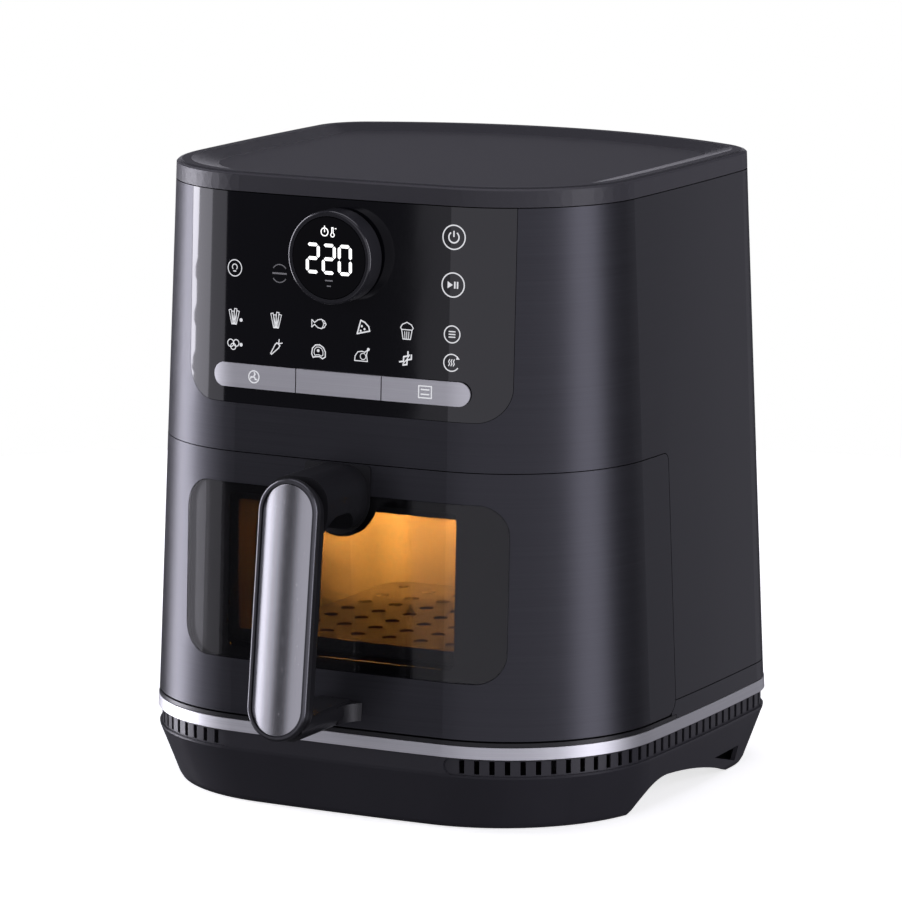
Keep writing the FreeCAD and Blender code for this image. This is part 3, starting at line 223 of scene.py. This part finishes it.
def lid_plastic(colour):
    """Fine-textured moulding, polished and softened where the inner border slopes."""
    finish = Finish("lid_plastic")
    fine = finish.noise((1800.0, 1800.0, 1800.0), 2.0)
    facing = finish.node("ShaderNodeNewGeometry", out="True Normal")
    upward = finish.node("ShaderNodeSeparateXYZ", {}, [facing], "Z")
    slope = (upward > BORDER_STEEP) * (upward < BORDER_FLAT)
    lift = finish.node("ShaderNodeCombineXYZ", {}, [0.0, 0.0, slope])
    eased = finish.node("ShaderNodeVectorMath", {"operation": "ADD"}, [facing, lift])
    eased = finish.node("ShaderNodeVectorMath", {"operation": "NORMALIZE"}, [eased])
    shade = finish.mixed(fine, tinted(colour, 0.86), tinted(colour, 1.16))
    return finish.surface(Base_Color=shade, Roughness=fine * 0.08 + 0.38 - slope * 0.20,
                          Normal=finish.bump(fine, 0.00002, eased), Specular_IOR_Level=PLASTIC_GLOSS)


dress(["top_lid"], lid_plastic((0.040, 0.039, 0.046)))

# ---------------------------------------------------------------------------------------------
# Control panel: piano-black moulding, bowed and leaning with the wall, with symbols printed on
# it that light up white.
# ---------------------------------------------------------------------------------------------


def glossed(name, colour, roughness=0.05):
    """High-gloss black with the faint orange peel and dust of a moulded panel."""
    finish = Finish(name)
    peel = finish.noise((110.0, 110.0, 110.0), 1.0)
    dust = finish.noise((900.0, 900.0, 900.0), 2.0)
    shade = finish.mixed(dust, tinted(colour, 0.8), tinted(colour, 1.25))
    return finish.surface(Base_Color=shade, Roughness=dust * 0.04 + roughness, Normal=finish.bump(peel, 0.000003),
                          Specular_IOR_Level=0.8)


dress(["control_panel"], glossed("panel_gloss", (0.004, 0.004, 0.006)))


def lit(name, colour, strength):
    """Printing lit from behind: nearly even, a little dimmer in faint random patches."""
    finish = Finish(name)
    patch = finish.noise((160.0, 160.0, 160.0), 1.0)
    shade = finish.mixed(patch, tinted(colour, 0.9), colour)
    return finish.surface(Base_Color=(0.3, 0.3, 0.3), Roughness=0.5, Emission_Color=shade,
                          Emission_Strength=strength)


class Artwork:
    """Flat strokes and patches in a front view, in millimetres, laid onto a surface as one mesh."""

    def __init__(self):
        self.outlines = []

    def stroke(self, points, width, closed=False):
        count = len(points)
        pairs = range(count if closed else count - 1)
        for index in pairs:
            a = Vector(points[index])
            b = Vector(points[(index + 1) % count])
            way = (b - a).normalized()
            side = Vector((-way.y, way.x)) * width / 2
            reach = way * width * 0.3
            self.outlines.append([a - reach - side, b + reach - side, b + reach + side, a - reach + side])

    def ring(self, x, z, radius, width, start=0.0, end=360.0):
        steps = max(8, int(abs(end - start) / 10))
        for index in range(steps):
            quad = []
            angles = [math.radians(start + (end - start) * (index + step) / steps) for step in (0, 1)]
            for r, order in ((radius - width / 2, angles), (radius + width / 2, angles[::-1])):
                quad += [Vector((x + r * math.cos(t), z + r * math.sin(t))) for t in order]
            self.outlines.append(quad)

    def patch(self, points):
        self.outlines.append([Vector(p) for p in points])

    def dot(self, x, z, radius):
        self.patch([(x + radius * math.cos(t / 6 * math.pi), z + radius * math.sin(t / 6 * math.pi))
                    for t in range(12)])

    def laid(self, name, node, material, body, proud=0.00006):
        """Each corner is dropped onto the front of the CAD node and lifted by a hair."""
        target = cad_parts[node]
        mesh = bmesh.new()
        for outline in self.outlines:
            corners = []
            for point in outline:
                start = Vector((point.x * MM, -1.0, point.y * MM))
                _, spot, _, _ = target.ray_cast(start, Vector((0, 1, 0)))
                corners.append(mesh.verts.new(spot - Vector((0, proud, 0))))
            mesh.faces.new(corners)
        bmesh.ops.recalc_face_normals(mesh, faces=mesh.faces)
        data = bpy.data.meshes.new(name)
        mesh.to_mesh(data)
        mesh.free()
        data.materials.append(material)
        piece = bpy.data.objects.new(name, data)
        bpy.context.scene.collection.objects.link(piece)
        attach(piece, body)


def turned(points, x, z, size=1.0, turn=0.0):
    """Points drawn about the origin, scaled, turned by degrees and moved to x, z."""
    c = math.cos(math.radians(turn)) * size
    s = math.sin(math.radians(turn)) * size
    return [(x + px * c - pz * s, z + px * s + pz * c) for px, pz in points]


COLUMNS = [-63.6, -38.15, -12.7, 12.7, 38.15]
KEY_X = 63.6
ROW_HIGH = 255.4
ROW_LOW = 241.0
symbols = Artwork()


def chips(x, z, drop):
    """Sticks standing in a bag, with a small dot for frozen food."""
    for shift, lean, top in ((-2.3, -14, 3.4), (-0.8, -5, 2.6), (0.8, 5, 4.0), (2.3, 14, 3.0)):
        stick = [(-0.7, -4.0), (0.7, -4.0), (0.7, top), (-0.7, top)]
        symbols.stroke(turned(stick, x + shift * 0.75, z, 1.0, -lean), 0.42, True)
    if drop:
        symbols.dot(x + 4.3, z - 1.6, 0.95)


def fish(x, z):
    body = [(4.2, 0), (3.2, 1.6), (1.4, 2.4), (-0.6, 2.0), (-2.6, 0.5), (-4.2, 1.9), (-4.2, -1.9), (-2.6, -0.5),
            (-0.6, -2.0), (1.4, -2.4), (3.2, -1.6)]
    symbols.stroke(turned(body, x, z), 0.5, True)
    symbols.ring(x + 0.4, z, 2.3, 0.4, -55, 55)
    symbols.dot(x + 3.3, z + 0.4, 0.35)


def pizza(x, z):
    slice_ = [(-3.0, -3.4), (-1.0, 3.6), (1.4, 2.6), (3.6, 0.6), (4.2, -1.6)]
    symbols.stroke(turned(slice_, x, z), 0.7, True)
    for px, pz in ((-0.4, 0.6), (1.2, -0.8), (-1.0, -1.8)):
        symbols.dot(x + px, z + pz, 0.6)


def cake(x, z):
    top = [(-3.0, 0.6), (-3.6, 1.6), (-2.6, 3.2), (0, 4.4), (2.6, 3.2), (3.6, 1.6), (3.0, 0.6)]
    symbols.stroke(turned(top, x, z), 0.5, True)
    cup = [(-2.9, 0.2), (-2.1, -4.2), (2.1, -4.2), (2.9, 0.2)]
    symbols.stroke(turned(cup, x, z), 0.5)
    for shift in (-1.1, 0.0, 1.1):
        symbols.stroke([(x + shift * 1.1, z - 0.4), (x + shift * 0.9, z - 3.8)], 0.4)


def nuggets(x, z):
    for px, pz, radius in ((-1.9, 0.5, 1.9), (1.5, 0.7, 1.7), (-0.3, -1.2, 1.6)):
        symbols.ring(x + px, z + pz, radius, 0.5)
    symbols.dot(x + 4.5, z, 0.95)


def carrot(x, z):
    root = [(-1.1, 2.6), (1.1, 2.6), (1.3, 1.2), (0.2, -4.2), (-0.5, -4.2), (-1.4, 1.2)]
    symbols.stroke(turned(root, x, z, 1.0, -38), 0.55, True)
    symbols.stroke(turned([(0, 2.8), (-1.2, 4.8)], x, z, 1.0, -38), 0.55)
    symbols.stroke(turned([(0, 2.8), (1.3, 4.6)], x, z, 1.0, -38), 0.55)


def steak(x, z):
    edge = [(-4.0, -1.2), (-3.6, 1.6), (-1.8, 3.4), (0.6, 3.6), (2.8, 2.4), (4.0, 0.2), (4.0, -2.4), (2.4, -3.4),
            (0.6, -2.4), (-1.6, -2.6), (-3.2, -3.0)]
    symbols.stroke(turned(edge, x, z), 0.6, True)
    symbols.stroke(turned(edge, x, z + 0.1, 0.66), 0.4, True)
    symbols.dot(x - 0.2, z + 0.6, 0.8)


def roast(x, z):
    bird = [(-4.2, -2.8), (-4.0, -0.4), (-2.4, 1.8), (0.0, 2.2), (1.6, 1.8), (3.2, 3.0), (2.6, 0.4), (3.2, -2.8)]
    symbols.stroke(turned(bird, x, z), 0.5, True)
    symbols.ring(x + 0.6, z - 0.4, 1.6, 0.4)
    symbols.dot(x + 3.6, z + 3.4, 0.8)


def bacon(x, z):
    for shift in (-1.3, 1.3):
        strip = [(-0.9, -3.8), (0.7, -2.0), (-0.7, 0.0), (0.9, 2.0), (-0.5, 3.8)]
        symbols.stroke(turned([(px + shift, pz) for px, pz in strip], x, z, 0.95, -38), 0.8)
    symbols.stroke(turned([(0, -3.2), (0.3, 0), (0, 3.2)], x, z, 0.95, -38), 0.5)


upper_row = (lambda x, z: chips(x, z, True), lambda x, z: chips(x, z, False), fish, pizza, cake)
lower_row = (nuggets, carrot, steak, roast, bacon)
for draw, column in zip(upper_row, COLUMNS):
    draw(column, ROW_HIGH)
for draw, column in zip(lower_row, COLUMNS):
    draw(column, ROW_LOW)

# Ringed touch keys: lamp on the left; power, start/pause, presets and keep-warm on the right.
LAMP_KEY_Z = 280.4
POWER_Z = 304.5
START_Z = 280.4
symbols.ring(-KEY_X, LAMP_KEY_Z, 4.2, 0.5)
symbols.ring(-KEY_X, LAMP_KEY_Z + 0.5, 1.5, 0.5, -50, 230)
symbols.stroke([(-KEY_X - 0.7, LAMP_KEY_Z - 1.6), (-KEY_X + 0.7, LAMP_KEY_Z - 1.6)], 0.6)
symbols.ring(KEY_X, POWER_Z, 6.1, 0.65)
symbols.ring(KEY_X, POWER_Z, 2.8, 0.75, 125, 415)
symbols.stroke([(KEY_X, POWER_Z + 0.4), (KEY_X, POWER_Z + 3.0)], 0.75)
symbols.ring(KEY_X, START_Z, 6.1, 0.65)
symbols.patch([(KEY_X - 3.0, START_Z - 1.8), (KEY_X - 0.1, START_Z), (KEY_X - 3.0, START_Z + 1.8)])
for shift in (1.0, 2.5):
    symbols.stroke([(KEY_X + shift, START_Z - 1.5), (KEY_X + shift, START_Z + 1.5)], 0.85)
symbols.ring(KEY_X, ROW_HIGH, 4.3, 0.6)
for lift in (-1.4, 0.0, 1.4):
    symbols.stroke([(KEY_X - 1.7, ROW_HIGH + lift), (KEY_X + 1.7, ROW_HIGH + lift)], 0.6)
symbols.ring(KEY_X, ROW_LOW, 4.3, 0.6, 35, 325)
symbols.patch(turned([(-1.2, -0.4), (1.2, -0.4), (0, 1.4)], KEY_X + 3.5, ROW_LOW + 2.5, 0.9, 125))
for shift in (-1.3, 0.0, 1.3):
    wave = [(shift - 0.3, -1.6), (shift + 0.3, -0.6), (shift - 0.3, 0.6), (shift + 0.3, 1.7)]
    symbols.stroke(turned(wave, KEY_X, ROW_LOW), 0.5)
printed_white = lit("symbol_white", (0.86, 0.87, 0.9), 0.75)
symbols.laid("panel_symbols", "control_panel", printed_white, "housing")

# Unlit marks beside the dial: grey print given a faint painted glow (a little emission), so they show slightly
# paler than the panel under any light.
faint = Artwork()
faint.ring(-36.5, 279.5, 4.6, 0.5, 35, 145)
faint.ring(-36.5, 279.5, 4.6, 0.5, 215, 325)
faint.stroke([(-40.5, 279.5), (-32.5, 279.5)], 0.9)
# The emission on these unlit marks is a painted glow, not a lamp behind them.
faint.laid("panel_unlit_marks", "control_panel", lit("symbol_painted_glow", (0.5, 0.5, 0.55), 0.035), "housing")

# ---------------------------------------------------------------------------------------------
# Dial: a dark satin metal ring that turns round a fixed, glossy, round display. The digits are
# lit segments behind the lens.
# ---------------------------------------------------------------------------------------------

dress(["dial_ring"], glossed("dial_metal", (0.020, 0.020, 0.024), 0.16))
dress(["display_lens"], glossed("display_gloss", (0.002, 0.002, 0.003), 0.03))
DISPLAY_Z = (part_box("display_lens")[0][2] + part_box("display_lens")[1][2]) / 2 / MM
digits = Artwork()
DIGIT_W = 6.4
DIGIT_H = 14.0
BAR = 1.75


def digit(x, z, segments):
    """Seven segments: a top, b and c right, d bottom, e and f left, g middle."""
    w = DIGIT_W / 2
    h = DIGIT_H / 2
    gap = 0.35
    runs = {"a": ((-w, h), (w, h)), "g": ((-w, 0), (w, 0)), "d": ((-w, -h), (w, -h)), "b": ((w, h), (w, 0)),
            "c": ((w, 0), (w, -h)), "e": ((-w, 0), (-w, -h)), "f": ((-w, h), (-w, 0))}
    for key in segments:
        a, b = (Vector(p) for p in runs[key])
        way = (b - a).normalized()
        side = Vector((-way.y, way.x)) * BAR / 2
        a = a + way * gap
        b = b - way * gap
        tip = way * BAR / 2
        corners = [a, a + tip - side, b - tip - side, b, b - tip + side, a + tip + side]
        digits.patch([(x + p.x, z + p.y) for p in corners])


for x, segments in ((-9.3, "abged"), (0.0, "abged"), (9.3, "abcdef")):
    digit(x, DISPLAY_Z - 0.6, segments)
digits.ring(-2.4, DISPLAY_Z + 13.2, 2.0, 0.5)
digits.stroke([(-2.4, DISPLAY_Z + 13.2), (-2.4, DISPLAY_Z + 14.4)], 0.5)
digits.stroke([(-2.4, DISPLAY_Z + 15.3), (-2.4, DISPLAY_Z + 16.2)], 0.5)
digits.ring(2.2, DISPLAY_Z + 11.9, 1.0, 0.45, 110, 430)
stem = [(1.8, 12.8), (1.8, 15.6), (2.6, 15.6), (2.6, 12.8)]
digits.stroke([(x, DISPLAY_Z + z) for x, z in stem], 0.4)
digits.stroke([(3.6, DISPLAY_Z + 15.2), (4.4, DISPLAY_Z + 15.2)], 0.4)
digits.laid("display_digits", "display_lens", lit("digit_white", (1.0, 1.0, 1.0), 1.6), "housing")
dim = Artwork()
dim.stroke([(-2.0, DISPLAY_Z - 11.6), (2.0, DISPLAY_Z - 11.6)], 0.7)
dim.stroke([(-1.0, DISPLAY_Z - 14.4), (1.0, DISPLAY_Z - 14.4)], 0.6)
dim.laid("display_dim_marks", "display_lens", lit("digit_dim", (0.5, 0.5, 0.55), 0.04), "housing")

# ---------------------------------------------------------------------------------------------
# Mode bar: a brushed steel pill in three pieces. The outer two are keys and the middle is fixed.
# ---------------------------------------------------------------------------------------------

dress(["mode_bar_centre", "mode_key_left", "mode_key_right"],
      brushed("bar_steel", (0.80, 0.80, 0.82), 1.0, 0.40, LEVEL, 0.15))
KEY_MARK_X = 50.0
BAR_MID = (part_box("mode_bar_centre")[0][2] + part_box("mode_bar_centre")[1][2]) / 2 / MM
fan_mark = Artwork()
fan_mark.ring(-KEY_MARK_X, BAR_MID, 3.1, 0.6)
for turn in (0, 120, 240):
    fan_mark.stroke(turned([(0, 0.4), (0.7, 1.4), (0.2, 2.2)], -KEY_MARK_X, BAR_MID, 1.0, turn), 0.7)
fan_mark.laid("fan_key_mark", "mode_key_left", printed_white, "key_left")
oven_mark = Artwork()
oven_front = [(-3.6, -3), (3.6, -3), (3.6, 3), (-3.6, 3)]
oven_mark.stroke(turned(oven_front, KEY_MARK_X, BAR_MID), 0.6, True)
for lift in (-1.2, 1.2):
    oven_mark.stroke([(KEY_MARK_X - 2.2, BAR_MID + lift), (KEY_MARK_X + 2.2, BAR_MID + lift)], 0.7)
oven_mark.laid("oven_key_mark", "mode_key_right", printed_white, "key_right")

# ---------------------------------------------------------------------------------------------
# Drawer window: a smoked glass pane let into the drawer front, printed black round its clear
# middle, and a second clear pane held by a silicone gasket in the basket's front wall.
# ---------------------------------------------------------------------------------------------

GLASS_ROUGHNESS = 0.02


def glazed(name, tint, alpha, gloss=0.5):
    """Glass as a thin tinted film: its gloss is the shader's, the rest shows through."""
    finish = Finish(name)
    smear = finish.noise((30.0, 30.0, 30.0), 3.0)
    clear = finish.noise((12.0, 12.0, 12.0), 1.0) * 0.06 + (alpha - 0.03)
    shade = finish.mixed(smear, tinted(tint, 0.85), tint)
    return finish.surface(Base_Color=shade, Roughness=smear * 0.03 + GLASS_ROUGHNESS, Alpha=clear,
                          Specular_IOR_Level=gloss,
                          Normal=finish.bump(finish.noise((8.0, 8.0, 8.0), 1.0), 0.00001))


dress(["window_outer_pane"], glazed("smoked_glass", (0.004, 0.004, 0.005), 0.42, 0.85))
dress(["window_inner_pane", "lamp_lens", "lamp_bulb"], glazed("clear_glass", (0.02, 0.02, 0.02), 0.12))
dress(["window_mask"], glossed("mask_print", (0.003, 0.003, 0.004), 0.2))
dress(["window_gasket", "drawer_seal", "plate_bumpers"], moulded("seal_silicone", (0.03, 0.03, 0.03), 0.6))

# ---------------------------------------------------------------------------------------------
# Basket and crisper plate: pressed steel with a dark non-stick coat, faintly pebbled.
# ---------------------------------------------------------------------------------------------


def coated(name, colour, roughness, gloss=0.5):
    """Non-stick coat over pressed steel, finely pebbled."""
    finish = Finish(name)
    fleck = finish.node("ShaderNodeTexVoronoi", {}, {"Vector": finish.place, "Scale": 900.0}, "Distance")
    cloud = finish.noise((18.0, 18.0, 18.0), 4.0)
    shade = finish.mixed(fleck * 0.7 + cloud * 0.4, tinted(colour, 0.75), tinted(colour, 1.5))
    return finish.surface(Base_Color=shade, Roughness=cloud * 0.18 + (roughness - 0.09),
                          Specular_IOR_Level=gloss, Normal=finish.bump(fleck, 0.00002))


PAN_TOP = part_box("basket_pan")[1][2]
dress(["basket_pan", "crisper_plate"], coated("nonstick_coat", (0.085, 0.085, 0.087), 0.6, 0.15))

# ---------------------------------------------------------------------------------------------
# Handle: a black closed loop screwed to the drawer front, faced with a satin steel plate that
# sits in a dark metal rim.
# ---------------------------------------------------------------------------------------------

dress(["handle_core", "front_frame", "drawer_front_inner"], moulded("handle_plastic", (0.013, 0.013, 0.015), 0.36))
dress(["handle_bezel"], brushed("bezel_metal", (0.13, 0.13, 0.14), 0.9, 0.34, UPRIGHT, 0.15))
PLATE_CROWN = 9.0
PLATE_MIDDLE = 0.006
dress(["handle_plate"], brushed("handle_steel", (0.50, 0.50, 0.52), 1.0, 0.25, UPRIGHT, 0.12, crown=PLATE_CROWN,
                                middle=PLATE_MIDDLE))

# ---------------------------------------------------------------------------------------------
# Inside: chamber, heater, fans, motor, boards, lamp and switch, mostly seen when the drawer is
# out or through the slots.
# ---------------------------------------------------------------------------------------------

dress(["chamber_liner", "exhaust_duct", "heater_guard"], coated("liner_steel", (0.11, 0.11, 0.12), 0.45))
dress(["liner_brackets", "slide_rails", "motor_stator", "motor_bracket", "motor_cover", "lamp_housing"],
      plated("zinc_steel", (0.56, 0.57, 0.60), 0.38))
dress(["latch_springs", "motor_shaft", "touch_contacts"], plated("spring_steel", (0.62, 0.62, 0.63), 0.25))
dress(["heater_coil"], plated("heater_steel", (0.16, 0.12, 0.10), 0.5))
dress(["motor_windings"], brushed("copper_winding", (0.55, 0.24, 0.10), 1.0, 0.35, UPRIGHT, 0.3))
dress(["motor_bearings"], plated("bearing_brass", (0.60, 0.46, 0.22), 0.35))
dress(["convection_fan"], brushed("fan_aluminium", (0.66, 0.66, 0.68), 1.0, 0.35, (300.0, 300.0, 40.0), 0.12))
dress(["heater_bushes", "thermal_cutout"], moulded("white_ceramic", (0.72, 0.70, 0.66), 0.6, 0.00003))
dress(["display_module", "switch_plunger"], moulded("white_plastic", (0.68, 0.68, 0.66), 0.45))
dress(["control_board", "power_board"], moulded("circuit_board", (0.015, 0.10, 0.04), 0.35, 0.00002, 500.0))
dress(["exhaust_grille", "dial_encoder", "display_holder", "cooling_fan", "drawer_switch"],
      moulded("black_plastic", (0.018, 0.018, 0.020), 0.45))

# ---------------------------------------------------------------------------------------------
# Studio: pale floor, white surroundings, tall soft boxes all round with one overhead. A warm
# lamp stands for the lit heater above the basket.
# ---------------------------------------------------------------------------------------------

AZIMUTH = math.radians(28.22)
ELEVATION = math.radians(10.17)
AIM = Vector((0.0095, 0.0012, 0.1754))
DISTANCE = 2.883
level = math.cos(ELEVATION)
away = Vector((math.sin(AZIMUTH) * level, -math.cos(AZIMUTH) * level, math.sin(ELEVATION)))
eye = bpy.data.objects.new("camera", bpy.data.cameras.new("camera"))
eye.data.lens = 218.5
eye.data.sensor_width = 36.0
eye.location = AIM + away * DISTANCE
eye.rotation_euler = (-away).to_track_quat("-Z", "Y").to_euler()
bpy.context.scene.collection.objects.link(eye)
bpy.context.scene.camera = eye
bpy.context.scene.view_settings.view_transform = "Standard"

WALLS_AWAY = 3.0
COOL_WHITE = (0.985, 0.965, 1.08)


def soft_box(name, place, turn, size, radiance):
    """Rectangular soft box of this brightness; it can't be seen itself."""
    data = bpy.data.lights.new(name, "AREA")
    data.shape = "RECTANGLE"
    data.size, data.size_y = size
    data.energy = radiance * size[0] * size[1] * math.pi
    data.color = COOL_WHITE
    lamp = bpy.data.objects.new(name, data)
    lamp.location = place
    lamp.rotation_euler = turn
    lamp.visible_camera = False
    bpy.context.scene.collection.objects.link(lamp)


def soft_wall(name, start, end, radiance, height=0.6, tall=3.4):
    """Upright soft box between two bearings in degrees, counted from the front towards +X."""
    width = 2 * WALLS_AWAY * math.tan(math.radians(end - start) / 2)
    bearing = math.radians((start + end) / 2)
    place = Vector((math.sin(bearing) * WALLS_AWAY, -math.cos(bearing) * WALLS_AWAY, height))
    turn = (Vector((0, 0, height)) - place).to_track_quat("-Z", "Y").to_euler()
    soft_box(name, place, turn, (width, tall), radiance)


soft_wall("left_bank", -101, -79, 7.5)
soft_wall("left_near", -79, -62, 2.0)
soft_wall("left_fade", -62, -46, 0.7)
soft_wall("right_fade", -23.5, -21, 0.30)
soft_wall("front_right", -21, 25, 0.60)
soft_wall("right_near", 25, 76, 0.60)
soft_wall("right_bank", 75, 102, 2.9)
soft_wall("back_right", 145, 172, 0.35)
soft_wall("back_left", 186, 228, 0.5, 0.52, 0.4)
CEILING_WIDTH = 2 * WALLS_AWAY * math.tan(math.radians(20))
soft_box("ceiling", (0.0, 0.3, 2.4), (0, 0, 0), (CEILING_WIDTH, 2.2), 1.1)

GLOW_PLACE = (0.030, 0.010, PAN_TOP - 0.006)
GLOW_WAY = Vector((-0.71, 0.70, 0.10))
GLOW_SIZE = (0.06, 0.02)
glow_data = bpy.data.lights.new("heater_glow", "AREA")
glow_data.shape = "RECTANGLE"
glow_data.size, glow_data.size_y = GLOW_SIZE
glow_data.energy = 4.2
glow_data.color = (1.0, 0.40, 0.065)
glow_data.spread = math.radians(92)
glow = bpy.data.objects.new("heater_glow", glow_data)
glow.location = GLOW_PLACE
glow.rotation_euler = GLOW_WAY.to_track_quat("-Z", "Y").to_euler()
glow.visible_camera = False
bpy.context.scene.collection.objects.link(glow)

FLOOR_R = 1.0
floor_data = bpy.data.meshes.new("floor")
rim = [(FLOOR_R * math.cos(math.radians(a)), FLOOR_R * math.sin(math.radians(a)), 0.0) for a in range(0, 360, 5)]
floor_data.from_pydata(rim, [], [list(range(len(rim)))])
floor = bpy.data.objects.new("floor", floor_data)
bpy.context.scene.collection.objects.link(floor)
floor.visible_glossy = False
floor.visible_diffuse = False
paper = Finish("paper")
fibre = paper.noise((300.0, 300.0, 300.0), 2.0)
floor_data.materials.append(paper.surface(Base_Color=paper.mixed(fibre, (0.9, 0.9, 0.9), (0.94, 0.94, 0.94)),
                                          Roughness=0.9, Emission_Color=(1, 1, 1), Emission_Strength=0.72))

# White where it is seen past the object, dim where it lights the object or shows in a reflection.
AIR_WHITE = (1, 1, 1, 1)
AIR_DIM = (0.055, 0.054, 0.062, 1)
bpy.context.scene.world = bpy.data.worlds.new("studio")
air = Finish("studio", bpy.context.scene.world)
seen = air.node("ShaderNodeLightPath", out="Is Camera Ray")
dim_air = air.node("ShaderNodeBackground", {}, {"Color": AIR_DIM})
white_air = air.node("ShaderNodeBackground", {}, {"Color": AIR_WHITE})
around = air.node("ShaderNodeMixShader", {}, [seen, dim_air, white_air])
air.node("ShaderNodeOutputWorld", {}, {"Surface": around})
